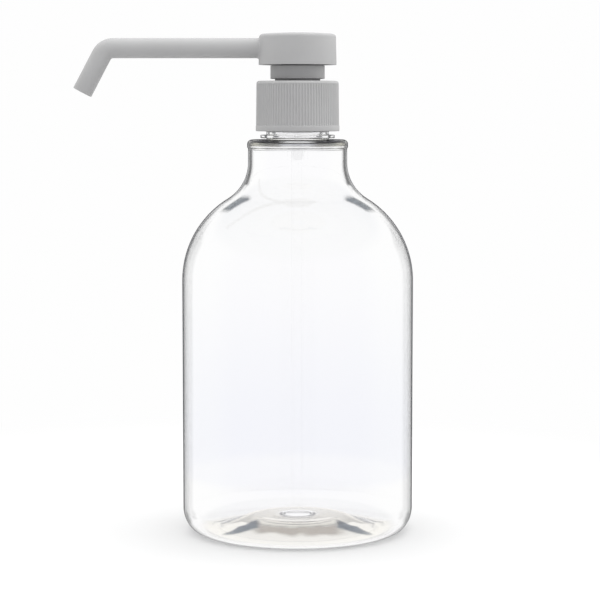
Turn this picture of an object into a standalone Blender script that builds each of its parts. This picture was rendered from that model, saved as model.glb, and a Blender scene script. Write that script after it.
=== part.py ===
"""A clear 500 ml bottle with a screw-on lotion pump, its head locked down as it is shipped.

The bottle is one blown piece: a threaded finish with a carrying flange, a wide beaded neck, a flared
shoulder, a straight wall, a rounded heel and a domed base. The pump hangs from the rim: a housing
with its foot valve, spring, piston, stem and second valve, a turret that closes the housing and
takes the head's lock sleeve, and a ribbed collar that clamps it all to the finish. The head and its
long bent spout are one moulding. A dip tube reaches down to the base.

Metres, +Z up. The origin is on the standing plane, midway between the bottle's wall and the spout's
tip, so the common axis of the bottle and the pump lies at x = AXIS_X.
"""

import math

import bmesh
import bpy

MM = 0.001

# The running and seating gap between one piece and the next
GAP = 0.25 * MM
# The gap between a ball and its conical seat
SEAT_GAP = 0.1 * MM

# Bottle: body, shoulder and neck
BODY_RADIUS = 40.0 * MM
WALL = 0.8 * MM
BOTTLE_HEIGHT = 136.2 * MM
NECK_RADIUS = 17.1 * MM
NECK_LENGTH = 7.8 * MM
FLARE_RADIUS = 14.7 * MM
SHOULDER_RADIUS = 33.3 * MM
BEAD_STAND = 0.3 * MM
BEAD_HEIGHT = 3.0 * MM
BEAD_ROUND = 1.6 * MM

# Bottle: threaded finish, whose thread is cut in the fine model
FINISH_HEIGHT = 16.45 * MM
FINISH_RADIUS = 10.8 * MM
FINISH_BORE = 8.9 * MM
FLANGE_RADIUS = 12.8 * MM
FLANGE_THICKNESS = 1.1 * MM
FLANGE_ABOVE_NECK = 0.5 * MM

# Bottle: heel and base
HEEL_HEIGHT = 8.5 * MM
RING_OUTER = 33.5 * MM
RING_WIDTH = 5.5 * MM
BASE_THICKNESS = 1.2 * MM
DOME_HEIGHT = 5.2 * MM
DOME_SLOPE = 12.0 * MM
GATE_RING_RADIUS = 6.1 * MM
GATE_RING_WIDTH = 1.8 * MM
GATE_RING_HEIGHT = 0.5 * MM
DOME_STEP_RADIUS = 9.7 * MM
DOME_STEP_HEIGHT = 0.25 * MM

# Collar
COLLAR_HEIGHT = 17.2 * MM
COLLAR_TOP_RADIUS = 14.17 * MM
COLLAR_FOOT_RADIUS = 14.33 * MM
COLLAR_TOP_WALL = 1.1 * MM
COLLAR_ROUND = 0.9 * MM
COLLAR_BORE = 12.2 * MM
BAND_HEIGHT = 1.9 * MM
BAND_STAND = 0.1 * MM
RIB_COUNT = 88
RIB_DEPTH = 0.22 * MM

# Turret
TURRET_RADIUS = 9.35 * MM
TURRET_HEIGHT = 4.55 * MM
STUB_RADIUS = 7.8 * MM
STUB_STAND = 0.7 * MM
SHELF_THICKNESS = 1.0 * MM

# Housing, with its gasket under the flange
CYLINDER_BORE = 5.6 * MM
CYLINDER_WALL = 0.9 * MM
HOUSING_FLANGE_RADIUS = 10.6 * MM
HOUSING_FLANGE_THICKNESS = 1.0 * MM
CHIMNEY_HEIGHT = 1.05 * MM
GASKET_THICKNESS = 0.8 * MM
SOCKET_LENGTH = 5.0 * MM
SOCKET_WALL = 1.25 * MM

# Piston, stem and spring
STROKE = 8.8 * MM
PISTON_HEIGHT = 2.6 * MM
STEM_RADIUS = 4.2 * MM
STEM_BORE = 2.2 * MM
STEM_INTO_HEAD = 7.5 * MM
ROD_RADIUS = 1.8 * MM
ROD_LENGTH = 8.0 * MM
ROD_FLANGE_RADIUS = 4.4 * MM
ROD_FLANGE_THICKNESS = 0.6 * MM
SPRING_LENGTH = 3.9 * MM
SPRING_RADIUS = 4.4 * MM
SPRING_WIRE = 0.7 * MM
SPRING_COILS = 4

# Valves
INLET_BALL_RADIUS = 1.5 * MM
OUTLET_BALL_RADIUS = 1.3 * MM
VALVE_THROAT = 1.0 * MM
THROAT_LENGTH = 0.8 * MM
BALL_LIFT = 0.5 * MM
RETAINER_THICKNESS = 0.7 * MM
RETAINER_SLOTS = 3

# Head and spout
HEAD_OVER_SPOUT = 1.85 * MM
HEAD_TOP_RADIUS = 13.2 * MM
HEAD_FOOT_RADIUS = 13.4 * MM
HEAD_ROUND = 1.2 * MM
HEAD_CROWN = 0.45 * MM
HEAD_WALL = 1.3 * MM
SLEEVE_RADIUS = 5.9 * MM
OUTLET_BORE = 1.1 * MM
SPOUT_RADIUS = 3.45 * MM
SPOUT_BORE = 1.9 * MM
SPOUT_RISE = 5.7 * MM
SPOUT_REACH = 66.1 * MM
SPOUT_DROP = 17.1 * MM
SPOUT_TURN = math.radians(62)
SPOUT_BEND = 4.5 * MM
SPOUT_ROOT_BELOW = 0.9 * MM
SPOUT_ROOT_ABOVE = 0.2 * MM
SPOUT_INTO_ROOF = 0.3 * MM

# Dip tube
DIP_RADIUS = 2.1 * MM
DIP_WALL = 0.6 * MM
DIP_FLOOR_GAP = 1.5 * MM
DIP_CUT = math.radians(30)

# Levels that follow from the sizes above, from the floor up
RIM_Z = BOTTLE_HEIGHT + FINISH_HEIGHT
GASKET_Z = RIM_Z + GAP
HOUSING_FLANGE_Z = GASKET_Z + GASKET_THICKNESS + GAP
HOUSING_FLANGE_TOP_Z = HOUSING_FLANGE_Z + HOUSING_FLANGE_THICKNESS
COLLAR_TOP_Z = HOUSING_FLANGE_TOP_Z + GAP + COLLAR_TOP_WALL
COLLAR_FOOT_Z = COLLAR_TOP_Z - COLLAR_HEIGHT
CHIMNEY_TOP_Z = HOUSING_FLANGE_TOP_Z + CHIMNEY_HEIGHT
STUB_Z = HOUSING_FLANGE_TOP_Z + GAP
SHELF_Z = CHIMNEY_TOP_Z + GAP
TURRET_Z = COLLAR_TOP_Z + STUB_STAND
TURRET_TOP_Z = TURRET_Z + TURRET_HEIGHT
SLEEVE_FOOT_Z = SHELF_Z + SHELF_THICKNESS + GAP
HEAD_Z = TURRET_TOP_Z + GAP
SPOUT_Z = HEAD_Z + SPOUT_RISE
HEAD_TOP_Z = SPOUT_Z + SPOUT_RADIUS + HEAD_OVER_SPOUT
HEAD_CEILING_Z = SPOUT_Z + SPOUT_RADIUS - SPOUT_INTO_ROOF
POCKET_TOP_Z = SLEEVE_FOOT_Z + STEM_INTO_HEAD + GAP
STEM_TOP_Z = POCKET_TOP_Z - GAP
PISTON_TOP_Z = SHELF_Z - GAP - STROKE
PISTON_Z = PISTON_TOP_Z - PISTON_HEIGHT
ROD_FLANGE_Z = PISTON_Z - GAP - ROD_FLANGE_THICKNESS
SPRING_Z = ROD_FLANGE_Z - GAP - SPRING_LENGTH
RETAINER_Z = SPRING_Z - GAP - RETAINER_THICKNESS
FLOOR_Z = RETAINER_Z - GAP
DIP_TIP_Z = DOME_HEIGHT + BASE_THICKNESS + DIP_FLOOR_GAP

# Radii and places that follow
CYLINDER_RADIUS = CYLINDER_BORE + CYLINDER_WALL
SOCKET_BORE = DIP_RADIUS + GAP
SOCKET_RADIUS = SOCKET_BORE + SOCKET_WALL
STEM_HOLE = STEM_RADIUS + GAP
SPOUT_SIDE = SPOUT_DROP * math.cos(SPOUT_TURN) + SPOUT_RADIUS * math.sin(SPOUT_TURN)
AXIS_X = (SPOUT_REACH + SPOUT_SIDE - BODY_RADIUS) / 2


def seated(throat_top_z, ball_radius):
    """Height of a ball's centre over a 45 degree seat that starts at the valve's throat."""
    return throat_top_z + (ball_radius + SEAT_GAP) * math.sqrt(2) - VALVE_THROAT


INLET_BALL_Z = RETAINER_Z - GAP - BALL_LIFT - INLET_BALL_RADIUS
INLET_THROAT_Z = INLET_BALL_Z - seated(0.0, INLET_BALL_RADIUS)
SOCKET_TOP_Z = INLET_THROAT_Z - THROAT_LENGTH
SOCKET_FOOT_Z = SOCKET_TOP_Z - SOCKET_LENGTH
DIP_TOP_Z = SOCKET_TOP_Z - GAP
OUTLET_BALL_Z = STEM_TOP_Z - BALL_LIFT - OUTLET_BALL_RADIUS
OUTLET_THROAT_Z = OUTLET_BALL_Z - seated(0.0, OUTLET_BALL_RADIUS)


def clear_the_scene():
    for old in list(bpy.data.objects):
        bpy.data.objects.remove(old, do_unlink=True)


def finish_of(name, colour, roughness, metallic=0.0, transmission=0.0, ior=1.5):
    material = bpy.data.materials.new(name)
    material.use_nodes = True
    shader = material.node_tree.nodes["Principled BSDF"]
    shader.inputs["Base Color"].default_value = (*colour, 1.0)
    shader.inputs["Roughness"].default_value = roughness
    shader.inputs["Metallic"].default_value = metallic
    shader.inputs["Transmission Weight"].default_value = transmission
    shader.inputs["IOR"].default_value = ior
    return material


def arc(centre_r, centre_z, radius, start, end, steps):
    """Points (r, z) of an arc from one angle to another, in degrees, both ends among them."""
    turns = [math.radians(start + (end - start) * i / steps) for i in range(steps + 1)]
    return [(centre_r + radius * math.cos(t), centre_z + radius * math.sin(t)) for t in turns]


def circle(radius, z, count):
    turns = [2 * math.pi * i / count for i in range(count)]
    return [(radius * math.cos(t), radius * math.sin(t), z) for t in turns]


def make_object(name, bm, material, parent, location=(0.0, 0.0, 0.0), sharp=32.0):
    bmesh.ops.remove_doubles(bm, verts=bm.verts, dist=1e-6)
    bmesh.ops.recalc_face_normals(bm, faces=bm.faces)
    mesh = bpy.data.meshes.new(name)
    bm.to_mesh(mesh)
    bm.free()
    mesh.materials.append(material)
    mesh.shade_smooth()
    mesh.set_sharp_from_angle(angle=math.radians(sharp))
    made = bpy.data.objects.new(name, mesh)
    made.parent = parent
    made.location = location
    bpy.context.scene.collection.objects.link(made)
    return made


def turned(outline, segments):
    """Spin a half section about Z. It is a closed loop, or it starts and ends on the axis."""
    bm = bmesh.new()
    verts = [bm.verts.new((r, 0.0, z)) for r, z in outline]
    edges = [bm.edges.new(pair) for pair in zip(verts, verts[1:])]
    if outline[0][0] > 0.0:
        edges.append(bm.edges.new((verts[-1], verts[0])))
    bmesh.ops.spin(
        bm,
        geom=verts + edges,
        cent=(0.0, 0.0, 0.0),
        axis=(0.0, 0.0, 1.0),
        angle=2 * math.pi,
        steps=segments,
        use_merge=True,
    )
    return bm


def lofted(rings, ring_of_rings=False):
    """Skin a row of equal rings. The ends are capped, unless the last ring joins the first."""
    bm = bmesh.new()
    rows = [[bm.verts.new(point) for point in ring] for ring in rings]
    spans = list(zip(rows, rows[1:]))
    if ring_of_rings:
        spans.append((rows[-1], rows[0]))
    else:
        bm.faces.new(rows[0])
        bm.faces.new(list(reversed(rows[-1])))
    for low, high in spans:
        count = len(low)
        for i in range(count):
            j = (i + 1) % count
            bm.faces.new((low[i], low[j], high[j], high[i]))
    return bm


def boolean(target, operation, tool):
    tool.hide_render = True
    tool.display_type = "WIRE"
    modifier = target.modifiers.new(tool.name, "BOOLEAN")
    modifier.operation = operation
    modifier.object = tool


def finish_outline():
    """The finish's outer side, from the rim down to the top of the neck."""
    edge = 0.4 * MM
    flange_z = BOTTLE_HEIGHT + FLANGE_ABOVE_NECK
    flange_top = flange_z + FLANGE_THICKNESS
    return [
        (FINISH_BORE + edge, RIM_Z),
        (FINISH_RADIUS - edge, RIM_Z),
        (FINISH_RADIUS, RIM_Z - edge),
        (FINISH_RADIUS, flange_top),
        (FLANGE_RADIUS - edge / 2, flange_top),
        (FLANGE_RADIUS, flange_top - edge / 2),
        (FLANGE_RADIUS, flange_z + edge / 2),
        (FLANGE_RADIUS - edge / 2, flange_z),
        (FINISH_RADIUS, flange_z),
        (FINISH_RADIUS, BOTTLE_HEIGHT),
    ]


def shoulder_centre():
    """Centre of the shoulder's arc, which meets the wall upright and the flare's arc smoothly."""
    centre_r = BODY_RADIUS - SHOULDER_RADIUS
    across = NECK_RADIUS + FLARE_RADIUS - centre_r
    drop = math.sqrt((FLARE_RADIUS + SHOULDER_RADIUS) ** 2 - across**2)
    return centre_r, BOTTLE_HEIGHT - NECK_LENGTH - drop


def shoulder_outline(inset, flare_steps, shoulder_steps):
    """Neck, flare and shoulder at a depth under the outer surface, from the top down."""
    centre_r, centre_z = shoulder_centre()
    flare_r = NECK_RADIUS + FLARE_RADIUS
    flare_z = BOTTLE_HEIGHT - NECK_LENGTH
    meet = math.degrees(math.atan2(flare_z - centre_z, flare_r - centre_r))
    flare = arc(flare_r, flare_z, FLARE_RADIUS + inset, 180, 180 + meet, flare_steps)
    shoulder = arc(centre_r, centre_z, SHOULDER_RADIUS - inset, meet, 0, shoulder_steps)
    return flare + shoulder[1:]


def heel_outline(inset, steps):
    """The quarter ellipse from the wall down to the standing ring."""
    width = BODY_RADIUS - RING_OUTER
    turns = [math.pi / 2 * i / steps for i in range(steps + 1)]
    return [
        (
            RING_OUTER + (width - inset) * math.cos(t),
            HEEL_HEIGHT - (HEEL_HEIGHT - inset) * math.sin(t),
        )
        for t in turns
    ]


def base_outline():
    """The underside, from the standing ring's inner edge in to the axis."""
    ring_inner = RING_OUTER - RING_WIDTH
    slope_top = ring_inner - DOME_SLOPE
    gate_inner = GATE_RING_RADIUS - GATE_RING_WIDTH
    return [
        (ring_inner, 0.0),
        (ring_inner - DOME_SLOPE * 0.12, DOME_HEIGHT * 0.1),
        (ring_inner - DOME_SLOPE * 0.85, DOME_HEIGHT * 0.82),
        (slope_top, DOME_HEIGHT * 0.9),
        (DOME_STEP_RADIUS + DOME_STEP_HEIGHT, DOME_HEIGHT - DOME_STEP_HEIGHT),
        (DOME_STEP_RADIUS, DOME_HEIGHT),
        (GATE_RING_RADIUS, DOME_HEIGHT),
        (GATE_RING_RADIUS - GATE_RING_WIDTH / 3, DOME_HEIGHT - GATE_RING_HEIGHT),
        (gate_inner + GATE_RING_WIDTH / 3, DOME_HEIGHT - GATE_RING_HEIGHT),
        (gate_inner, DOME_HEIGHT),
        (0.0, DOME_HEIGHT),
    ]


def floor_outline():
    """The inside of the base, from the axis out to the heel."""
    ring_inner = RING_OUTER - RING_WIDTH
    return [
        (0.0, DOME_HEIGHT + BASE_THICKNESS),
        (GATE_RING_RADIUS, DOME_HEIGHT + BASE_THICKNESS),
        (ring_inner - DOME_SLOPE, DOME_HEIGHT * 0.9 + BASE_THICKNESS),
        (ring_inner - DOME_SLOPE * 0.85, DOME_HEIGHT * 0.82 + BASE_THICKNESS),
        (ring_inner, BASE_THICKNESS),
    ]


def make_bottle(clear, parent):
    """One blown wall, from the axis under the base, up the outside, and down the inside."""
    bead_r = NECK_RADIUS + BEAD_STAND
    bead_foot = BOTTLE_HEIGHT - BEAD_HEIGHT
    outer = finish_outline()
    outer += arc(bead_r - BEAD_ROUND, BOTTLE_HEIGHT - BEAD_ROUND, BEAD_ROUND, 90, 0, 4)
    outer += [(bead_r, bead_foot + BEAD_STAND), (NECK_RADIUS, bead_foot)]
    outer += shoulder_outline(0.0, 5, 8) + heel_outline(0.0, 4) + base_outline()
    lid = BOTTLE_HEIGHT - 1.5 * WALL
    inner = floor_outline() + list(reversed(heel_outline(WALL, 2)))
    inner += list(reversed(shoulder_outline(WALL, 3, 5)))
    inner += [(NECK_RADIUS - WALL, lid - WALL), (bead_r - 2 * WALL, lid), (FINISH_BORE, lid)]
    inner += [(FINISH_BORE, RIM_Z - WALL / 2)]
    outline = list(reversed(outer)) + list(reversed(inner))
    return make_object("bottle", turned(outline, 36), clear, parent)


def ribbed_ring(crest, z):
    """A ring of the collar's grip: crests at the given radius and roots a rib's depth inside it."""
    points = []
    for i in range(2 * RIB_COUNT):
        radius = crest - RIB_DEPTH * (i % 2)
        turn = math.pi * i / RIB_COUNT
        points.append((radius * math.cos(turn), radius * math.sin(turn), z))
    return points


def make_collar(grey, parent):
    """A ribbed screw cap with a hole for the turret's stub, its thread left to the fine model."""
    foot, top = COLLAR_FOOT_RADIUS, COLLAR_TOP_RADIUS
    count = 2 * RIB_COUNT
    edge = 0.3 * MM
    band_top = COLLAR_FOOT_Z + BAND_HEIGHT
    rings = [
        circle(foot + BAND_STAND - edge, COLLAR_FOOT_Z, count),
        circle(foot + BAND_STAND, COLLAR_FOOT_Z + edge, count),
        circle(foot + BAND_STAND, band_top, count),
        ribbed_ring(foot, band_top + edge / 2),
        ribbed_ring(top, COLLAR_TOP_Z - COLLAR_ROUND),
        circle(top - 0.3 * COLLAR_ROUND, COLLAR_TOP_Z - 0.3 * COLLAR_ROUND, count),
        circle(top - COLLAR_ROUND, COLLAR_TOP_Z, count),
    ]
    collar = make_object("collar", lofted(rings), grey, parent, sharp=50.0)
    ceiling = COLLAR_TOP_Z - COLLAR_TOP_WALL
    past = 1.0 * MM
    hole = STUB_RADIUS + GAP
    hollow = [
        (0.0, COLLAR_FOOT_Z - past),
        (COLLAR_BORE, COLLAR_FOOT_Z - past),
        (COLLAR_BORE, ceiling),
        (hole, ceiling),
        (hole, COLLAR_TOP_Z + past),
        (0.0, COLLAR_TOP_Z + past),
    ]
    boolean(collar, "DIFFERENCE", make_object("collar_hollow", turned(hollow, 40), grey, parent))
    return collar


def make_turret(grey, parent):
    """Snaps on the housing's chimney. Its barrel takes the head's lock sleeve."""
    edge = 0.25 * MM
    bore = SLEEVE_RADIUS + GAP
    outline = [
        (STUB_RADIUS, STUB_Z),
        (STUB_RADIUS, TURRET_Z),
        (TURRET_RADIUS, TURRET_Z),
        (TURRET_RADIUS, TURRET_TOP_Z - edge),
        (TURRET_RADIUS - edge, TURRET_TOP_Z),
        (bore + edge, TURRET_TOP_Z),
        (bore, TURRET_TOP_Z - edge),
        (bore, SHELF_Z + SHELF_THICKNESS),
        (STEM_HOLE, SHELF_Z + SHELF_THICKNESS),
        (STEM_HOLE, SHELF_Z),
        (CYLINDER_RADIUS + GAP, SHELF_Z),
        (CYLINDER_RADIUS + GAP, STUB_Z),
    ]
    return make_object("turret", turned(outline, 32), grey, parent)


def make_housing(clear, parent):
    """Flange, cylinder, foot valve and dip tube socket in one moulding."""
    chamber = INLET_BALL_RADIUS + GAP
    cone_drop = CYLINDER_RADIUS - SOCKET_RADIUS
    outline = [
        (CYLINDER_RADIUS, CHIMNEY_TOP_Z),
        (CYLINDER_RADIUS, HOUSING_FLANGE_TOP_Z),
        (HOUSING_FLANGE_RADIUS, HOUSING_FLANGE_TOP_Z),
        (HOUSING_FLANGE_RADIUS, HOUSING_FLANGE_Z),
        (CYLINDER_RADIUS, HOUSING_FLANGE_Z),
        (CYLINDER_RADIUS, FLOOR_Z - CYLINDER_WALL / 2),
        (SOCKET_RADIUS, FLOOR_Z - CYLINDER_WALL / 2 - cone_drop),
        (SOCKET_RADIUS, SOCKET_FOOT_Z),
        (SOCKET_BORE, SOCKET_FOOT_Z),
        (SOCKET_BORE, SOCKET_TOP_Z),
        (VALVE_THROAT, SOCKET_TOP_Z),
        (VALVE_THROAT, INLET_THROAT_Z),
        (chamber, INLET_THROAT_Z + chamber - VALVE_THROAT),
        (chamber, FLOOR_Z),
        (CYLINDER_BORE, FLOOR_Z),
        (CYLINDER_BORE, CHIMNEY_TOP_Z),
    ]
    return make_object("pump_housing", turned(outline, 28), clear, parent)


def make_washer(name, inner, outer, low, high, material, parent):
    outline = [(outer, high), (outer, low), (inner, low), (inner, high)]
    return make_object(name, turned(outline, 24), material, parent)


def make_retainer(white, parent):
    """The washer under the spring. Its slots let the liquid past the ball that it holds down."""
    outer = CYLINDER_BORE - GAP
    top_z = RETAINER_Z + RETAINER_THICKNESS
    washer = make_washer("ball_retainer", VALVE_THROAT, outer, RETAINER_Z, top_z, white, parent)
    reach = SPRING_RADIUS - SPRING_WIRE
    half = VALVE_THROAT / 2
    for i in range(RETAINER_SLOTS):
        bm = bmesh.new()
        bmesh.ops.create_cube(bm, size=1.0)
        bmesh.ops.scale(bm, vec=(reach, 2 * half, 3 * RETAINER_THICKNESS), verts=bm.verts)
        bmesh.ops.translate(bm, vec=(reach / 2, 0.0, RETAINER_Z), verts=bm.verts)
        slot = make_object(f"retainer_slot_{i + 1}", bm, white, parent)
        slot.rotation_euler.z = 2 * math.pi * i / RETAINER_SLOTS
        boolean(washer, "DIFFERENCE", slot)
    return washer


def make_ball(name, radius, z, material, parent):
    bm = bmesh.new()
    bmesh.ops.create_uvsphere(bm, u_segments=16, v_segments=8, radius=radius)
    return make_object(name, bm, material, parent, location=(0.0, 0.0, z))


def make_spring(steel, parent):
    """A round wire wound upwards, its ends cut square."""
    wire = SPRING_WIRE / 2
    steps, sides = 16 * SPRING_COILS, 6
    climb = SPRING_LENGTH - SPRING_WIRE
    rings = []
    for i in range(steps + 1):
        turn = 2 * math.pi * SPRING_COILS * i / steps
        z = SPRING_Z + wire + climb * i / steps
        ring = []
        for k in range(sides):
            round_wire = 2 * math.pi * (k + 0.5) / sides
            radius = SPRING_RADIUS + wire * math.cos(round_wire)
            height = z + wire * math.sin(round_wire)
            ring.append((radius * math.cos(turn), radius * math.sin(turn), height))
        rings.append(ring)
    return make_object("return_spring", lofted(rings), steel, parent, sharp=80.0)


def make_piston(white, parent):
    """A ring with a wiping lip at each end."""
    lip = PISTON_HEIGHT / 5
    outer = CYLINDER_BORE - GAP / 2
    waist = CYLINDER_BORE - 2 * GAP
    bore = ROD_RADIUS + GAP
    outline = [
        (outer, PISTON_TOP_Z),
        (outer, PISTON_TOP_Z - lip),
        (waist, PISTON_TOP_Z - 1.6 * lip),
        (waist, PISTON_Z + 1.6 * lip),
        (outer, PISTON_Z + lip),
        (outer, PISTON_Z),
        (bore, PISTON_Z),
        (bore, PISTON_TOP_Z),
    ]
    return make_object("piston", turned(outline, 24), white, parent)


def make_rod(white, parent):
    """The plug that carries the piston: a flange on the spring and a shaft up the stem's bore."""
    rod_top = PISTON_TOP_Z + ROD_LENGTH
    flange_top = ROD_FLANGE_Z + ROD_FLANGE_THICKNESS
    outline = [
        (0.0, rod_top),
        (ROD_RADIUS / 2, rod_top),
        (ROD_RADIUS, rod_top - ROD_RADIUS / 2),
        (ROD_RADIUS, flange_top),
        (ROD_FLANGE_RADIUS, flange_top),
        (ROD_FLANGE_RADIUS, ROD_FLANGE_Z),
        (0.0, ROD_FLANGE_Z),
    ]
    return make_object("piston_rod", turned(outline, 20), white, parent)


def make_stem(white, parent):
    """The tube between the piston and the head, with the second valve at its top."""
    chamber = OUTLET_BALL_RADIUS + GAP
    edge = 0.3 * MM
    outline = [
        (STEM_RADIUS - edge, STEM_TOP_Z),
        (STEM_RADIUS, STEM_TOP_Z - edge),
        (STEM_RADIUS, PISTON_TOP_Z + GAP),
        (STEM_BORE, PISTON_TOP_Z + GAP),
        (STEM_BORE, OUTLET_THROAT_Z - THROAT_LENGTH),
        (VALVE_THROAT, OUTLET_THROAT_Z - THROAT_LENGTH),
        (VALVE_THROAT, OUTLET_THROAT_Z),
        (chamber, OUTLET_THROAT_Z + chamber - VALVE_THROAT),
        (chamber, STEM_TOP_Z),
    ]
    return make_object("stem", turned(outline, 24), white, parent)


def root_rings(sides):
    """Rings where the spout leaves the head's wall, with a fillet that follows the wall round.

    The fillet is fuller under the spout than on its crown, so its rings sink as they swell.
    """
    swell_share = (SPOUT_ROOT_BELOW + SPOUT_ROOT_ABOVE) / 2 / SPOUT_ROOT_BELOW
    sink_share = (SPOUT_ROOT_BELOW - SPOUT_ROOT_ABOVE) / 2 / SPOUT_ROOT_BELOW
    steps = 3
    stations = [(-HEAD_WALL / 2, 0.0), (-HEAD_WALL / 4, SPOUT_ROOT_BELOW)]
    for i in range(steps + 1):
        away = SPOUT_ROOT_BELOW * i / steps
        left = SPOUT_ROOT_BELOW - away
        stations.append((away, SPOUT_ROOT_BELOW - math.sqrt(SPOUT_ROOT_BELOW**2 - left**2)))
    rings = []
    for away, fillet in stations:
        size = SPOUT_RADIUS + fillet * swell_share
        ring = []
        for k in range(sides):
            turn = 2 * math.pi * k / sides
            across, up = size * math.sin(turn), size * math.cos(turn)
            wall_x = -math.sqrt(HEAD_TOP_RADIUS**2 - across**2)
            ring.append((wall_x - away, across, SPOUT_Z + up - fillet * sink_share))
        rings.append(ring)
    return rings


def spout_rings(radius, start_x, past, sides, root=()):
    """Rings along the spout: level from start_x, round the bend, and down to its tip or past it."""
    tangent = SPOUT_BEND * math.tan(SPOUT_TURN / 2)
    bend_x = tangent - SPOUT_REACH
    steps = 6
    stations = [(start_x, SPOUT_Z, 0.0)]
    for i in range(steps + 1):
        turn = SPOUT_TURN * i / steps
        x = bend_x - SPOUT_BEND * math.sin(turn)
        z = SPOUT_Z - SPOUT_BEND * (1 - math.cos(turn))
        stations.append((x, z, turn))
    run = SPOUT_DROP - tangent + past
    x = stations[-1][0] - run * math.cos(SPOUT_TURN)
    z = stations[-1][1] - run * math.sin(SPOUT_TURN)
    stations.append((x, z, SPOUT_TURN))
    rings = []
    for x, z, turn in stations:
        ring = []
        for k in range(sides):
            round_bore = 2 * math.pi * k / sides
            across, up = radius * math.sin(round_bore), radius * math.cos(round_bore)
            ring.append((x - up * math.sin(turn), across, z + up * math.cos(turn)))
        rings.append(ring)
    return rings[:1] + list(root) + rings[1:]


def head_outline():
    """The cap with its lock sleeve: over the top, down the side, and in to the stem's pocket."""
    shoulder_z = HEAD_TOP_Z - HEAD_CROWN
    flat = HEAD_TOP_RADIUS - HEAD_ROUND
    crown_radius = (flat**2 + HEAD_CROWN**2) / (2 * HEAD_CROWN)
    spread = math.degrees(math.asin(flat / crown_radius))
    outline = arc(0.0, HEAD_TOP_Z - crown_radius, crown_radius, 90, 90 - spread, 3)
    outline[0] = (0.0, HEAD_TOP_Z)
    outline += arc(flat, shoulder_z - HEAD_ROUND, HEAD_ROUND, 75, 0, 4)
    inside = HEAD_FOOT_RADIUS - HEAD_WALL
    outline += [
        (HEAD_FOOT_RADIUS, HEAD_Z),
        (inside, HEAD_Z),
        (inside, HEAD_CEILING_Z),
        (SLEEVE_RADIUS, HEAD_CEILING_Z),
        (SLEEVE_RADIUS, SLEEVE_FOOT_Z),
        (STEM_HOLE, SLEEVE_FOOT_Z),
        (STEM_HOLE, POCKET_TOP_Z),
        (OUTLET_BORE, POCKET_TOP_Z),
        (OUTLET_BORE, SPOUT_Z),
        (0.0, SPOUT_Z),
    ]
    return outline


def make_head(grey, parent):
    """Head and spout in one moulding. The spout's bore runs on inside to the stem's pocket."""
    head = make_object("pump_head", turned(head_outline(), 40), grey, parent)
    inside = -(SLEEVE_RADIUS + STEM_HOLE) / 2
    sides = 16
    form = lofted(spout_rings(SPOUT_RADIUS, inside, 0.0, sides, root=root_rings(sides)))
    boolean(head, "UNION", make_object("spout_form", form, grey, parent))
    bore = lofted(spout_rings(SPOUT_BORE, OUTLET_BORE / 2, SPOUT_BORE, 10))
    boolean(head, "DIFFERENCE", make_object("spout_bore", bore, grey, parent))
    return head


def make_dip_tube(clear, parent):
    """A straight tube whose foot is cut at a slant, so that it can't seal on the base."""
    slant = math.tan(DIP_CUT)
    count = 12

    def cut_ring(radius):
        return [(x, y, z + slant * (DIP_RADIUS - x)) for x, y, z in circle(radius, DIP_TIP_Z, count)]

    inner = DIP_RADIUS - DIP_WALL
    rings = [
        circle(DIP_RADIUS, DIP_TOP_Z, count),
        cut_ring(DIP_RADIUS),
        cut_ring(inner),
        circle(inner, DIP_TOP_Z, count),
    ]
    return make_object("dip_tube", lofted(rings, ring_of_rings=True), clear, parent)


def main():
    clear_the_scene()
    bottle_clear = finish_of("clear_bottle", (0.95, 0.96, 0.97), 0.03, transmission=1.0, ior=1.57)
    pump_clear = finish_of("clear_pump", (0.96, 0.97, 0.97), 0.08, transmission=1.0, ior=1.5)
    grey = finish_of("grey_plastic", (0.39, 0.39, 0.39), 0.55)
    white = finish_of("white_plastic", (0.85, 0.85, 0.83), 0.5)
    rubber = finish_of("gasket_foam", (0.8, 0.8, 0.78), 0.8)
    steel = finish_of("spring_steel", (0.56, 0.57, 0.58), 0.25, metallic=1.0)
    axis = bpy.data.objects.new("pump_axis", None)
    axis.location = (AXIS_X, 0.0, 0.0)
    bpy.context.scene.collection.objects.link(axis)
    make_bottle(bottle_clear, axis)
    make_collar(grey, axis)
    make_turret(grey, axis)
    make_housing(pump_clear, axis)
    gasket_top = GASKET_Z + GASKET_THICKNESS
    seal_inner = CYLINDER_RADIUS + GAP
    make_washer("neck_gasket", seal_inner, FINISH_RADIUS - GAP, GASKET_Z, gasket_top, rubber, axis)
    make_retainer(white, axis)
    make_ball("inlet_ball", INLET_BALL_RADIUS, INLET_BALL_Z, steel, axis)
    make_spring(steel, axis)
    make_piston(white, axis)
    make_rod(white, axis)
    make_stem(white, axis)
    make_ball("outlet_ball", OUTLET_BALL_RADIUS, OUTLET_BALL_Z, steel, axis)
    make_head(grey, axis)
    make_dip_tube(pump_clear, axis)


main()
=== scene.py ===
# %% [markdown]
# # A clear pump bottle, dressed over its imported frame
#
# The real object is a blow-moulded bottle of clear plastic with a grey lotion pump screwed on. Its
# wall is under a millimetre thick, so almost all of its look is light that bends in that wall. The
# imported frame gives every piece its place. This lesson makes fine meshes at those places, gives
# them their finishes, and sets up a pale studio around them.

# %% Load the frame
import math

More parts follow.
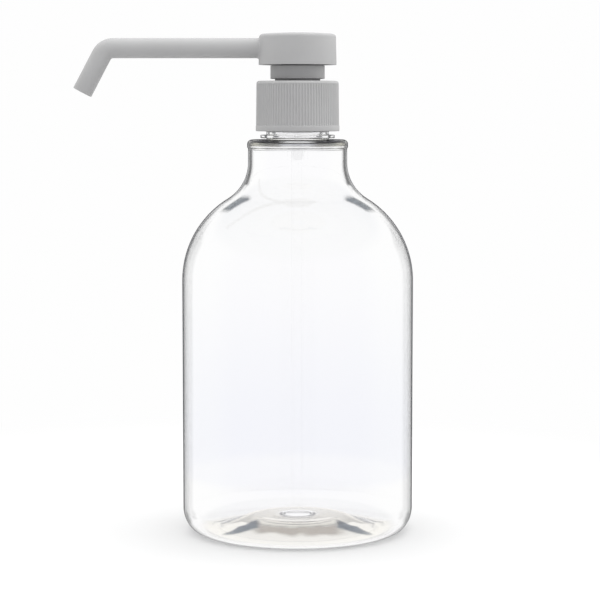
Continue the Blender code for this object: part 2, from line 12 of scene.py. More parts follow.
import bmesh
import bpy
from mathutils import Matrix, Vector


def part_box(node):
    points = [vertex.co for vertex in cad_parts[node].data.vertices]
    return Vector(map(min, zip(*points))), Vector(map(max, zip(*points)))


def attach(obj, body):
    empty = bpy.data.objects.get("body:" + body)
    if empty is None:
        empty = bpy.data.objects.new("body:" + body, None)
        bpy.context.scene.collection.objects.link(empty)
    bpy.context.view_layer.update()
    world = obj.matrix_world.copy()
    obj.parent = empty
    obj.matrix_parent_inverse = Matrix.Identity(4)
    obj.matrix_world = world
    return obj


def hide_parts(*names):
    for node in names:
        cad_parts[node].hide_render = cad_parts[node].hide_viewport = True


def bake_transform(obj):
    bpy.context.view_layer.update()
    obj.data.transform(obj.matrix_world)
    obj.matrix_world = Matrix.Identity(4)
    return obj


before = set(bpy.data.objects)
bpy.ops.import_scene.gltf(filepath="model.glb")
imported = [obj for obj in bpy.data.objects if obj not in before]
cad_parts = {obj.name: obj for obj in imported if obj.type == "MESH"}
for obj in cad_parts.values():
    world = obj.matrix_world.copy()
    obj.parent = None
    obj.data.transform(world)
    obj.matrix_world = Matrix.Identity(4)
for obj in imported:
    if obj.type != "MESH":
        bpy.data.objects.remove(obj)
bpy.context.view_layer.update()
MM = 0.001
print("nodes:", sorted(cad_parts))

# %% [markdown]
# ## Sizes
#
# Levels are read from the frame's nodes, so that every piece sits where the frame has it. Sizes
# that a box can't show, such as the radius of a round, are written here in millimetres, as they
# would be on a drawing. The head's box reaches down to the spout's tip, so the level of the head's
# foot comes from the turret below it.

# %% Levels and the common axis, read from the frame
bottle_low, bottle_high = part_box("bottle")
collar_low, collar_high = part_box("collar")
turret_low, turret_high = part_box("turret")

AXIS_X = (bottle_low.x + bottle_high.x) / 2
BODY_RADIUS = (bottle_high.y - bottle_low.y) / 2
RIM_Z = bottle_high.z
FINISH_HEIGHT = 16.45 * MM
NECK_TOP_Z = RIM_Z - FINISH_HEIGHT
COLLAR_FOOT_Z, COLLAR_TOP_Z = collar_low.z, collar_high.z
TURRET_FOOT_Z, TURRET_TOP_Z = turret_low.z, turret_high.z
HEAD_TOP_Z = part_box("pump_head")[1].z
GAP = 0.25 * MM
HEAD_FOOT_Z = TURRET_TOP_Z + GAP
SHELF_BELOW_TOP = 5.3 * MM
SHELF_THICKNESS = 1.0 * MM
SHELF_Z = TURRET_TOP_Z - SHELF_BELOW_TOP
SLEEVE_FOOT_Z = SHELF_Z + SHELF_THICKNESS + GAP
print("axis at x =", round(AXIS_X, 5), "neck top at z =", round(NECK_TOP_Z, 4))

# %% [markdown]
# ## The camera
#
# A long lens stands 0.7 m off and a little over the bottle's shoulder, which keeps the sides
# almost parallel and still shows the ellipse of the base.

# %% Camera
CAMERA_SIDESTEP = 0.83 * MM
CAMERA_DISTANCE = 0.710
CAMERA_HEIGHT = 0.1477
CAMERA_PITCH = math.radians(5.40)
CAMERA_LENS = 123.12
CAMERA_SENSOR = 36.0

camera_data = bpy.data.cameras.new("camera")
camera_data.lens = CAMERA_LENS
camera_data.sensor_width = CAMERA_SENSOR
camera = bpy.data.objects.new("camera", camera_data)
camera.location = (AXIS_X + CAMERA_SIDESTEP, -CAMERA_DISTANCE, CAMERA_HEIGHT)
camera.rotation_euler = (math.pi / 2 - CAMERA_PITCH, 0.0, 0.0)
bpy.context.scene.collection.objects.link(camera)
bpy.context.scene.camera = camera
bpy.context.scene.view_settings.view_transform = "Standard"
print("camera", CAMERA_LENS, "mm at", [round(c, 3) for c in camera.location])

# %% [markdown]
# ## Writing shader maths as plain expressions
#
# A finish is easier to read as `1 - mask` than as a pile of Math nodes. The class below wraps one
# socket, and its operators add the Math nodes. The same class serves Geometry Nodes later on.

# %% The expression class


class Socket:
    """One output socket of a node tree, with arithmetic on it."""

    def __init__(self, tree, output):
        self.tree = tree
        self.output = output

    def math(self, operation, *values):
        maths = self.tree.nodes.new("ShaderNodeMath")
        maths.operation = operation
        for place, value in enumerate(values):
            plug(self.tree, maths.inputs[place], value)
        return Socket(self.tree, maths.outputs[0])

    def __add__(self, other):
        return self.math("ADD", self, other)

    def __radd__(self, other):
        return self.math("ADD", other, self)

    def __sub__(self, other):
        return self.math("SUBTRACT", self, other)

    def __rsub__(self, other):
        return self.math("SUBTRACT", other, self)

    def __mul__(self, other):
        return self.math("MULTIPLY", self, other)

    def __rmul__(self, other):
        return self.math("MULTIPLY", other, self)

    def __truediv__(self, other):
        return self.math("DIVIDE", self, other)

    def __abs__(self):
        return self.math("ABSOLUTE", self)

    def smooth(self, low, high):
        """0 below low, 1 above high, with an S-shaped rise between."""
        return node(
            self.tree,
            "ShaderNodeMapRange",
            {"interpolation_type": "SMOOTHSTEP"},
            {"Value": self, "From Min": low, "From Max": high},
        )


print("expression class ready")

# %% [markdown]
# ## Nodes and materials
#
# Every other node comes from one function, which takes its type, its settings and the values or
# links of its sockets. Colours are mixed by their own node, because a Math node turns them grey.

# %% Making nodes and materials


def plug(tree, socket, value):
    """Link a Socket to an input, or write a plain value on it."""
    if isinstance(value, Socket):
        tree.links.new(value.output, socket)
    else:
        socket.default_value = value


def node(tree, kind, settings=None, sockets=None, output=0):
    """Any node: its settings are set first, then its sockets. Returns one of its outputs."""
    made = tree.nodes.new(kind)
    for name, value in (settings or {}).items():
        setattr(made, name, value)
    for name, value in (sockets or {}).items():
        plug(tree, made.inputs[name], value)
    return Socket(tree, made.outputs[output])


def colour_mix(tree, factor, low, high):
    """A colour between low, at factor 0, and high, at factor 1."""
    mix = tree.nodes.new("ShaderNodeMix")
    mix.data_type = "RGBA"
    plug(tree, mix.inputs["Factor"], factor)
    plug(tree, mix.inputs[6], low)
    plug(tree, mix.inputs[7], high)
    return Socket(tree, mix.outputs[2])


def shader_mix(tree, factor, low, high):
    """A shader between low, at factor 0, and high, at factor 1."""
    mix = tree.nodes.new("ShaderNodeMixShader")
    for place, value in enumerate((factor, low, high)):
        plug(tree, mix.inputs[place], value)
    return Socket(tree, mix.outputs[0])


def new_material(name):
    """An empty material. Returns it with its tree and its output's surface socket."""
    material = bpy.data.materials.new(name)
    material.use_nodes = True
    tree = material.node_tree
    tree.nodes.clear()
    end = tree.nodes.new("ShaderNodeOutputMaterial")
    return material, tree, end.inputs["Surface"]


print("node helpers ready")

# %% [markdown]
# ## The studio
#
# Clear plastic shows its surroundings, so the studio is drawn as a world. It is white, and behind
# the bottle a dark flag stands on each side of the view. The flags' images make thin dark lines
# along the wall. The grey plastic takes its light from above and from the right. Each kind of ray
# gets its own sky, as a product photographer gives the bottle and the cap their own lamps.

# %% The studio's flags and lamps
WHITE = (0.991, 0.991, 0.991, 1.0)
FLAG_GREY = (0.05, 0.055, 0.06, 1.0)
OVERHEAD_GREY = (0.52, 0.55, 0.58, 1.0)
FRONT_LAVENDER = (0.72, 0.69, 0.90, 1.0)
TOP_LAVENDER = (0.90, 0.90, 0.97, 1.0)
BACK_DARK = (0.12, 0.12, 0.13, 1.0)
FLAG_START, FLAG_END = math.sin(math.radians(15.5)), math.sin(math.radians(34.0))
FLAG_LOW, FLAG_HIGH = math.sin(math.radians(-18.0)), math.sin(math.radians(12.0))
FLAG_SOFT = 0.03
AMBIENT = 0.49
LAMP_BEHIND, LAMP_RIGHT, LAMP_LEFT, LAMP_ABOVE = 0.38, 0.94, 0.34, 2.30


def wall_of_flags(across, ahead, up):
    """1 in the dark flags behind the bottle, 0 elsewhere. The inputs are parts of a direction."""
    sine = abs(across)
    begins = sine.smooth(FLAG_START - FLAG_SOFT, FLAG_START + FLAG_SOFT)
    ends = sine.smooth(FLAG_END - FLAG_SOFT, FLAG_END + 3 * FLAG_SOFT)
    above_foot = up.smooth(FLAG_LOW - 2 * FLAG_SOFT, FLAG_LOW)
    above_top = up.smooth(FLAG_HIGH, FLAG_HIGH + 4 * FLAG_SOFT)
    return begins * (1 - ends) * (above_foot * (1 - above_top)) * ahead.smooth(0.5, 0.6)


print("flags from", round(FLAG_START, 3), "to", round(FLAG_END, 3), "of the way across")

# %% [markdown]
# ### The sky of each ray
#
# Light Path tells which ray asks for the world's colour. Soft light falls on the plastic, the rays
# that pass through the wall see the flags, mirrored rays see a lavender front, and the camera
# itself sees plain white.

# %% The world


def build_world():
    world = bpy.data.worlds.new("studio")
    bpy.context.scene.world = world
    world.use_nodes = True
    tree = world.node_tree
    tree.nodes.clear()
    place = node(tree, "ShaderNodeTexCoord")
    direction = tree.nodes.new("ShaderNodeSeparateXYZ")
    plug(tree, direction.inputs[0], place)
    x, y, z = (Socket(tree, direction.outputs[i]) for i in range(3))

    lit = AMBIENT + LAMP_BEHIND * y.smooth(-0.3, 0.8) + LAMP_RIGHT * x.smooth(0.2, 0.9)
    lit = lit + LAMP_LEFT * (0 - x).smooth(0.2, 0.9) + LAMP_ABOVE * z.smooth(0.45, 0.98)
    soft_light = node(tree, "ShaderNodeBackground", None, {"Color": WHITE, "Strength": lit})

    overhead = z.smooth(0.42, 0.62)
    through = colour_mix(tree, overhead, WHITE, OVERHEAD_GREY)
    through = colour_mix(tree, wall_of_flags(x, y, z), through, FLAG_GREY)
    glass_light = node(tree, "ShaderNodeBackground", None, {"Color": through})

    front = (0 - y).smooth(-0.1, 0.5)
    mirrored = colour_mix(tree, front, WHITE, FRONT_LAVENDER)
    mirrored = colour_mix(tree, overhead, mirrored, TOP_LAVENDER)
    mirrored = colour_mix(tree, y.smooth(0.90, 0.96), mirrored, BACK_DARK)
    mirror_light = node(tree, "ShaderNodeBackground", None, {"Color": mirrored})

    seen = node(tree, "ShaderNodeBackground", None, {"Color": WHITE})
    ray = tree.nodes.new("ShaderNodeLightPath")
    sky = soft_light
    for kind, light in (("Glossy", mirror_light), ("Transmission", glass_light), ("Camera", seen)):
        chosen = Socket(tree, ray.outputs[f"Is {kind} Ray"])
        sky = shader_mix(tree, chosen, sky, light)
    end = tree.nodes.new("ShaderNodeOutputWorld")
    plug(tree, end.inputs["Surface"], sky)


build_world()
print("studio world ready")

# %% [markdown]
# ## The floor
#
# A pale sheet takes the soft shadow at the bottle's foot. Further out it glows as white as the
# world, so that no horizon shows. Rays inside the bottle pass through it and see the world instead.

# %% Floor
FLOOR_HALF = 4.0
FLOOR_DROP = 0.05 * MM
PAPER_GREY = (0.590, 0.590, 0.590, 1.0)
SHADOW_REACH = (0.10, 0.26)


def make_floor():
    material, tree, surface = new_material("pale_floor")
    place = node(tree, "ShaderNodeTexCoord", output=3)
    away = node(tree, "ShaderNodeVectorMath", {"operation": "LENGTH"}, {0: place}, output=1)
    paper = node(tree, "ShaderNodeBsdfDiffuse", None, {"Color": PAPER_GREY})
    glow = node(tree, "ShaderNodeEmission", None, {"Color": WHITE})
    plug(tree, surface, shader_mix(tree, away.smooth(*SHADOW_REACH), paper, glow))
    bm = bmesh.new()
    bmesh.ops.create_grid(bm, x_segments=1, y_segments=1, size=FLOOR_HALF)
    bmesh.ops.translate(bm, vec=(AXIS_X, 0.0, -FLOOR_DROP), verts=bm.verts)
    mesh = bpy.data.meshes.new("floor")
    bm.to_mesh(mesh)
    bm.free()
    mesh.materials.append(material)
    floor = bpy.data.objects.new("floor", mesh)
    bpy.context.scene.collection.objects.link(floor)
    floor.visible_transmission = False
    floor.visible_glossy = False


make_floor()
print("floor ready")

# %% [markdown]
# ## Outlines for turned pieces
#
# Most of the pump and the whole bottle are turned shapes: half a section, spun round the axis. A
# section is a list of (r, z) points, made of straight runs, arcs and rounded corners.

# %% Arcs and rounded corners


def arc(centre_r, centre_z, radius, start, end, steps):
    """Points (r, z) of an arc between two angles in degrees."""
    turns = [math.radians(start + (end - start) * i / steps) for i in range(steps + 1)]
    return [(centre_r + radius * math.cos(t), centre_z + radius * math.sin(t)) for t in turns]


def rounded(outline, radius, steps=4):
    """Round every corner of an outline of (r, z) points, but not its two ends."""
    longest_cut = 0.45
    smoothed = [outline[0]]
    for before, corner, after in zip(outline, outline[1:], outline[2:]):
        here, back, ahead = Vector(corner), Vector(before), Vector(after)
        cut = min(radius, (here - back).length * longest_cut, (ahead - here).length * longest_cut)
        start = here + (back - here).normalized() * cut
        end = here + (ahead - here).normalized() * cut
        for i in range(steps + 1):
            t = i / steps
            point = start * (1 - t) ** 2 + here * 2 * t * (1 - t) + end * t**2
            smoothed.append((point.x, point.y))
    smoothed.append(outline[-1])
    return smoothed


def stepped(outline, longest):
    """Add points along straight stretches, so that none is longer than this."""
    dense = [outline[0]]
    for start, end in zip(outline, outline[1:]):
        steps = max(1, math.ceil(math.dist(start, end) / longest))
        for i in range(1, steps + 1):
            t = i / steps
            dense.append((start[0] + (end[0] - start[0]) * t, start[1] + (end[1] - start[1]) * t))
    return dense


print("a corner of 4 steps has", len(rounded([(0, 0), (1, 0), (1, 1)], 0.1)) - 2, "points")

# %% [markdown]
# ## Spinning an outline
#
# A Screw modifier could spin the section. The helper writes the rings itself, so that a thread can
# be added to the radius at any angle and height.

# %% Turned meshes
ON_AXIS = 1e-7


def turned_mesh(name, outline, segments, relief=None, closed=True, outer_rows=0):
    """Spin (r, z) points round the pump's axis. relief(turn, r, z) is added to the radius.

    The first outer_rows rows are marked as outer skin in an attribute that a finish can read.
    """
    bm = bmesh.new()
    skin = bm.verts.layers.float.new("outer_skin")
    rows = []
    for r, z in outline:
        if r < ON_AXIS:
            rows.append([bm.verts.new((AXIS_X, 0.0, z))])
            continue
        ring = []
        for i in range(segments):
            turn = 2 * math.pi * i / segments
            wide = r + (relief(turn, r, z) if relief else 0.0)
            ring.append(bm.verts.new((AXIS_X + wide * math.cos(turn), wide * math.sin(turn), z)))
        rows.append(ring)
    for ring in rows[:outer_rows]:
        for vert in ring:
            vert[skin] = 1.0
    spans = list(zip(rows, rows[1:]))
    if closed and len(rows[0]) > 1:
        spans.append((rows[-1], rows[0]))
    for low, high in spans:
        if len(low) == len(high) == 1:
            continue
        for i in range(segments):
            j = (i + 1) % segments
            corners = [low[i % len(low)], low[j % len(low)], high[j % len(high)], high[i % len(high)]]
            bm.faces.new(list(dict.fromkeys(corners)))
    return closed_mesh(name, bm)


def closed_mesh(name, bm):
    """Turn the faces of a finished bmesh outwards and write it to a new mesh."""
    bmesh.ops.recalc_face_normals(bm, faces=bm.faces)
    mesh = bpy.data.meshes.new(name)
    bm.to_mesh(mesh)
    bm.free()
    return mesh


print("turned meshes ready")

# %% [markdown]
# ## Setting a piece in the frame
#
# Each piece gets its finish, smooth shading that stops at sharp edges, the body it moves with,
# and the node it replaces.

# %% Finishing a piece


def finished(name, mesh, material, body, replaces=(), sharp=40.0):
    """Shade a mesh, give it its finish, and set it in the frame."""
    mesh.materials.clear()
    mesh.materials.append(material)
    mesh.shade_smooth()
    mesh.set_sharp_from_angle(angle=math.radians(sharp))
    piece = bpy.data.objects.new(name, mesh)
    bpy.context.scene.collection.objects.link(piece)
    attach(piece, body)
    if replaces:
        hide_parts(*replaces)
    print(name, "has", len(mesh.polygons), "faces")


print("finishing helper ready")

# %% [markdown]
# ## The bottle's sizes
#
# One blown wall: finish, flange, beaded neck, flare, shoulder, straight wall, heel and domed base.
# These are its drawing sizes, which the painted reflections below read too.

# %% Bottle sizes
WALL = 0.8 * MM
NECK_RADIUS = 17.1 * MM
NECK_LENGTH = 7.8 * MM
FLARE_RADIUS = 14.7 * MM
SHOULDER_RADIUS = 33.3 * MM
BEAD_STAND = 0.3 * MM
BEAD_HEIGHT = 3.0 * MM
BEAD_ROUND = 1.6 * MM
BEAD_FOOT_Z = NECK_TOP_Z - BEAD_HEIGHT
FINISH_RADIUS = 10.8 * MM
FINISH_BORE = 8.9 * MM
FLANGE_RADIUS = 12.8 * MM
FLANGE_THICKNESS = 1.1 * MM
FLANGE_ABOVE_NECK = 0.5 * MM
HEEL_HEIGHT = 8.5 * MM
RING_OUTER = 33.5 * MM
RING_WIDTH = 5.5 * MM
BASE_THICKNESS = 1.2 * MM
DOME_HEIGHT = 5.2 * MM
DOME_SLOPE = 12.0 * MM
GATE_RING_RADIUS = 6.1 * MM
GATE_RING_WIDTH = 1.8 * MM
GATE_RING_HEIGHT = 0.5 * MM
print("bottle radius", round(BODY_RADIUS / MM, 1), "mm, wall", round(WALL / MM, 1), "mm")

# %% [markdown]
# ## Where reflections and shade are painted on the bottle
#
# A real bottle bends in the warm and dark things round it: cream and brown in the push-up, slate on
# the shoulder, olive in the bead, lavender on the body. A plain studio has none of them, so they are
# painted reflections in the wall's colour, each held to a place on the bottle. The dark lines of the
# neck, the edges and the heel are painted shade that follows the angle at which the wall is seen,
# as on the rim of a glass.

# %% Painted reflections and shade, and their places
# Colours of the painted reflections (lavender, olive, cream, brown, slate) and of the painted shade (the
# greys) on the clear wall.
CLEAR = (1.0, 1.0, 1.0, 1.0)
REFLECTED_SLATE = (0.036, 0.046, 0.054, 1.0)
NECK_SHADE_GREY = (0.003, 0.003, 0.0035, 1.0)
REFLECTED_OLIVE = (0.42, 0.41, 0.355, 1.0)
EDGE_SHADE_GREY = (0.015, 0.015, 0.017, 1.0)
REFLECTED_LAVENDER = (0.925, 0.935, 0.975, 1.0)
REFLECTED_BROWN = (0.26, 0.22, 0.17, 1.0)
REFLECTED_CREAM = (0.90, 0.86, 0.76, 1.0)

# A band of three values is its low end, its high end and the softness of both. Two are one edge.
NECK_LINE, NECK_FACING = (NECK_TOP_Z - 15.5 * MM, BEAD_FOOT_Z - 0.2 * MM, 0.5 * MM), (0.59, 0.75, 0.05)
PATCH_LEVELS = (NECK_TOP_Z - 24.0 * MM, NECK_TOP_Z - 19.0 * MM, 0.9 * MM)
PATCH_DEPTHS, PATCH_SIDE = (12.0 * MM, 17.5 * MM, 1.0 * MM), (15.0 * MM, 17.0 * MM)
BEAD_LEVELS = (BEAD_FOOT_Z + 0.8 * MM, NECK_TOP_Z + 0.2 * MM, 0.15 * MM)
BEAD_SIDE, BEAD_FRONT = (3.5 * MM, 8.0 * MM), (-1.0 * MM, 1.0 * MM)
EDGE_FACING, EDGE_STRENGTH = (0.84, 0.92), 0.92
HEEL_FACING, HEEL_TOP = (0.70, 0.86), (5.0 * MM, 12.0 * MM)
LAVENDER_FOOT, LAVENDER_TOP = (18.0 * MM, 23.0 * MM), (30.0 * MM, 100.0 * MM)
PUSH_UP_TOP = (6.8 * MM, 8.5 * MM)
CREAM_RING = (7.0 * MM, 33.0 * MM, 2.5 * MM)
BROWN_RING = (19.3 * MM, 25.3 * MM, 1.4 * MM)
BROWN_SIDE, BROWN_FRONT = (12.0 * MM, 19.0 * MM), (0.0, 5.0 * MM)
WEDGE_SLOPE, WEDGE_BACK, WEDGE_FRONT = 0.47, (1.6 * MM, 3.4 * MM), (16.5 * MM, 18.5 * MM)
WEDGE_SIDES = (13.3 * MM, 25.5 * MM, 1.2 * MM)
CLOUD_SCALE = 110.0
RIPPLE, RIPPLE_SHARE = 8.0 * MM, 0.3
print("tints from the heel up to z =", round(NECK_TOP_Z, 4))

# %% [markdown]
# ### Painting the reflections and shade
#
# Object coordinates are centred on the bottle's axis. `side` is the distance from the middle,
# `depth` grows towards the front, and a soft noise ripples the outlines of the shoulder's patches
# and of the brown and the slate in the push-up.

# %% The wall's painted reflections and shade


def band(value, low, high, soft):
    """1 between low and high, 0 outside, with soft edges."""
    return value.smooth(low - soft, low + soft) * (1 - value.smooth(high - soft, high + soft))


def bottle_painted_light(tree):
    """Painted reflections and painted shade as the wall's colour: lavender, edges, neck, shoulder, bead, and
    the push-up inside.
    """
    place = node(tree, "ShaderNodeTexCoord", output=3)
    axis = (AXIS_X, 0.0, 0.0)
    centred = node(tree, "ShaderNodeVectorMath", {"operation": "SUBTRACT"}, {0: place, 1: axis})
    level = (1.0, 1.0, 0.0)
    flat = node(tree, "ShaderNodeVectorMath", {"operation": "MULTIPLY"}, {0: centred, 1: level})
    r = node(tree, "ShaderNodeVectorMath", {"operation": "LENGTH"}, {0: flat}, output=1)
    parts = tree.nodes.new("ShaderNodeSeparateXYZ")
    plug(tree, parts.inputs[0], centred)
    side = abs(Socket(tree, parts.outputs[0]))
    depth = 0 - Socket(tree, parts.outputs[1])
    z = Socket(tree, parts.outputs[2])
    facing = node(tree, "ShaderNodeLayerWeight", None, {"Blend": 0.5}, output=1)
    outer = node(tree, "ShaderNodeAttribute", {"attribute_name": "outer_skin"}, output=2)
    cloud = node(tree, "ShaderNodeTexNoise", None, {"Vector": place, "Scale": CLOUD_SCALE, "Detail": 1.0})
    ripple = RIPPLE * (cloud - 0.5)

    # Painted reflection: a lavender cast low on the body's outer skin.
    low = z.smooth(*LAVENDER_FOOT) * (1 - z.smooth(*LAVENDER_TOP))
    # Painted shade: dark edges, a dark heel and dark neck lines where the wall is seen at a grazing angle.
    edge = facing.smooth(*EDGE_FACING) * EDGE_STRENGTH
    heel = facing.smooth(*HEEL_FACING) * (1 - z.smooth(*HEEL_TOP))
    neck = band(z, *NECK_LINE) * band(facing, *NECK_FACING)
    # Painted reflections: slate patches on the front shoulder and olive in the front of the bead.
    patch = band(z, *PATCH_LEVELS)
    patch = patch * band(depth + RIPPLE_SHARE * ripple, *PATCH_DEPTHS) * side.smooth(*PATCH_SIDE)
    bead = band(z, *BEAD_LEVELS) * side.smooth(*BEAD_SIDE) * depth.smooth(*BEAD_FRONT)
    painted_colour = colour_mix(tree, outer * low, CLEAR, REFLECTED_LAVENDER)
    painted_colour = colour_mix(tree, outer * edge, painted_colour, EDGE_SHADE_GREY)
    painted_colour = colour_mix(tree, outer * heel, painted_colour, EDGE_SHADE_GREY)
    painted_colour = colour_mix(tree, outer * neck, painted_colour, NECK_SHADE_GREY)
    painted_colour = colour_mix(tree, outer * patch, painted_colour, REFLECTED_SLATE)
    painted_colour = colour_mix(tree, outer * bead, painted_colour, REFLECTED_OLIVE)

    # Painted reflections inside the push-up: a cream ring all round, and brown and slate on the front half.
    inner_floor = (1 - outer) * (1 - z.smooth(*PUSH_UP_TOP))
    cream = inner_floor * band(r, *CREAM_RING)
    brown = inner_floor * band(r + ripple, *BROWN_RING)
    brown = brown * (1 - side.smooth(*BROWN_SIDE)) * depth.smooth(*BROWN_FRONT)
    slant = depth - WEDGE_SLOPE * side + RIPPLE_SHARE * ripple
    wedge = inner_floor * slant.smooth(*WEDGE_BACK) * (1 - depth.smooth(*WEDGE_FRONT))
    wedge = wedge * band(side, *WEDGE_SIDES)
    painted_colour = colour_mix(tree, cream, painted_colour, REFLECTED_CREAM)
    painted_colour = colour_mix(tree, brown, painted_colour, REFLECTED_BROWN)
    return colour_mix(tree, wedge, painted_colour, REFLECTED_SLATE)


print("bottle tint ready")

# %% [markdown]
# ## Clear plastic
#
# The wall is a real double surface, so a refracting shader bends light in it as the real wall does.
# Shadow rays pass straight through with a small loss, because a bottle throws a pale shadow and
# refracted shadow rays would never find the light. The pump's clear parts inside the bottle have a
# very low alpha and an index near 1, which makes them hard to see.

# %% Clear plastics
BOTTLE_IOR, BOTTLE_SHADOW = 1.57, (0.91, 0.91, 0.91, 1.0)
PUMP_IOR, PUMP_SHADOW, PUMP_ALPHA = 1.03, (0.99, 0.99, 0.99, 1.0), 0.07


def clear_plastic(name, ior, alpha, shadow_tint, with_painted_light=False):
    material, tree, surface = new_material(name)
    clear = node(
        tree,
        "ShaderNodeBsdfPrincipled",
        None,
        {
            "Base Color": bottle_painted_light(tree) if with_painted_light else CLEAR,
            "Roughness": 0.0,
            "IOR": ior,
            "Transmission Weight": 1.0,
            "Alpha": alpha,
        },
    )
    passing = node(tree, "ShaderNodeBsdfTransparent", None, {"Color": shadow_tint})
    ray = tree.nodes.new("ShaderNodeLightPath")
    in_shadow = Socket(tree, ray.outputs["Is Shadow Ray"])
    plug(tree, surface, shader_mix(tree, in_shadow, clear, passing))
    return material


# The bottle's wall takes the painted reflections and painted shade as its colour.
bottle_clear = clear_plastic("clear_bottle", BOTTLE_IOR, 1.0, BOTTLE_SHADOW, with_painted_light=True)
pump_clear = clear_plastic("clear_pump", PUMP_IOR, PUMP_ALPHA, PUMP_SHADOW)
print("clear plastics ready")

# %% [markdown]
# ## The bottle's section
#
# The half section is a few arcs that meet smoothly. The shoulder and the heel are drawn at any
# depth under the outer surface, so that the same functions give the wall's inside.

# %% The bottle's outlines
FLARE_STEPS, SHOULDER_STEPS, HEEL_STEPS = 28, 44, 20


def shoulder_outline(inset):
    """Neck, flare and shoulder at a depth under the outer surface, from the top down."""
    centre_r = BODY_RADIUS - SHOULDER_RADIUS
    flare_r = NECK_RADIUS + FLARE_RADIUS
    flare_z = NECK_TOP_Z - NECK_LENGTH
    across = flare_r - centre_r
    drop = math.sqrt((FLARE_RADIUS + SHOULDER_RADIUS) ** 2 - across**2)
    centre_z = flare_z - drop
    meet = math.degrees(math.atan2(drop, across))
    flare = arc(flare_r, flare_z, FLARE_RADIUS + inset, 180, 180 + meet, FLARE_STEPS)
    shoulder = arc(centre_r, centre_z, SHOULDER_RADIUS - inset, meet, 0, SHOULDER_STEPS)
    return flare + shoulder[1:]


def heel_outline(inset):
    """The quarter ellipse from the wall down to the standing ring."""
    width = BODY_RADIUS - RING_OUTER
    turns = [math.pi / 2 * i / HEEL_STEPS for i in range(HEEL_STEPS + 1)]
    return [
        (
            RING_OUTER + (width - inset) * math.cos(t),
            HEEL_HEIGHT - (HEEL_HEIGHT - inset) * math.sin(t),
        )
        for t in turns
    ]


def base_outline():
    """The underside, from the standing ring's inner edge in to the axis."""
    ring_inner = RING_OUTER - RING_WIDTH
    gate_inner = GATE_RING_RADIUS - GATE_RING_WIDTH
    return [
        (ring_inner, 0.0),
        (ring_inner - DOME_SLOPE * 0.12, DOME_HEIGHT * 0.1),
        (ring_inner - DOME_SLOPE * 0.92, DOME_HEIGHT * 0.88),
        (GATE_RING_RADIUS, DOME_HEIGHT),
        (GATE_RING_RADIUS - GATE_RING_WIDTH / 3, DOME_HEIGHT - GATE_RING_HEIGHT),
        (gate_inner + GATE_RING_WIDTH / 3, DOME_HEIGHT - GATE_RING_HEIGHT),
        (gate_inner, DOME_HEIGHT),
        (0.0, DOME_HEIGHT),
    ]


def floor_outline():
    """The inside of the base, from the axis out to the heel."""
    ring_inner = RING_OUTER - RING_WIDTH
    return [
        (0.0, DOME_HEIGHT + BASE_THICKNESS),
        (GATE_RING_RADIUS, DOME_HEIGHT + BASE_THICKNESS),
        (ring_inner - DOME_SLOPE * 0.92, DOME_HEIGHT * 0.88 + BASE_THICKNESS),
        (ring_inner, BASE_THICKNESS),
        (RING_OUTER - WALL, BASE_THICKNESS * 0.8),
    ]


print("the shoulder's outline has", len(shoulder_outline(0.0)), "points")

# %% [markdown]
# ### The thread
#
# A thread is a ridge that climbs as it turns. At each angle the ridge has a known height, so the
# radius there grows by the ridge's section, and the finish stays one closed skin.

# %% The thread on the finish
THREAD_STAND = 0.85 * MM
THREAD_PITCH = 3.2 * MM
THREAD_WIDTH = 1.9 * MM
THREAD_TURNS = 1.6
THREAD_FADE_TURNS = 0.08
THREAD_FLANK_SLOPE = 2.2
THREAD_START_Z = RIM_Z - 10.5 * MM
THREAD_ZONE_LOW, THREAD_ZONE_HIGH = NECK_TOP_Z + 2.5 * MM, RIM_Z - 0.7 * MM
SAME_RADIUS = 1e-6


def thread_height(turn, z, start_z, stand):
    """How far the ridge stands out at an angle and a height: a trapezoid that fades at its ends."""
    best = 0.0
    for lap in range(math.ceil(THREAD_TURNS)):
        along = turn / (2 * math.pi) + lap
        if along > THREAD_TURNS:
            continue
        middle = start_z + THREAD_PITCH * along
        flank = 1.0 - abs(z - middle) / (THREAD_WIDTH / 2)
        fade = min(1.0, along / THREAD_FADE_TURNS, (THREAD_TURNS - along) / THREAD_FADE_TURNS)
        best = max(best, min(1.0, THREAD_FLANK_SLOPE * flank) * max(0.0, fade))
    return stand * max(0.0, best)


def bottle_relief(turn, r, z):
    """The thread outside the finish, and nothing anywhere else."""
    if abs(r - FINISH_RADIUS) < SAME_RADIUS and THREAD_ZONE_LOW < z < THREAD_ZONE_HIGH:
        return thread_height(turn, z, THREAD_START_Z, THREAD_STAND)
    return 0.0


print("thread of", THREAD_TURNS, "turns at", round(THREAD_PITCH / MM, 1), "mm pitch")

# %% [markdown]
# ## The bottle
#
# The outside runs from the lip down to the base's centre, and the inside back up to the bore. The
# outer rows are marked, because the painted reflections and shade lie on the outer skin and the
# push-up's painted reflections on the inner.

# %% The bottle
RIM_DEPTH, RIM_ROUND = 1.2 * MM, 0.4 * MM
THREAD_ROW = 0.22 * MM
FLANGE_ROUND = 0.25 * MM
BEAD_FOOT_ROUND = 0.3 * MM
BASE_ROUND = 3.0 * MM
THROAT_ROUND = 1.2 * MM
BOTTLE_SEGMENTS = 192


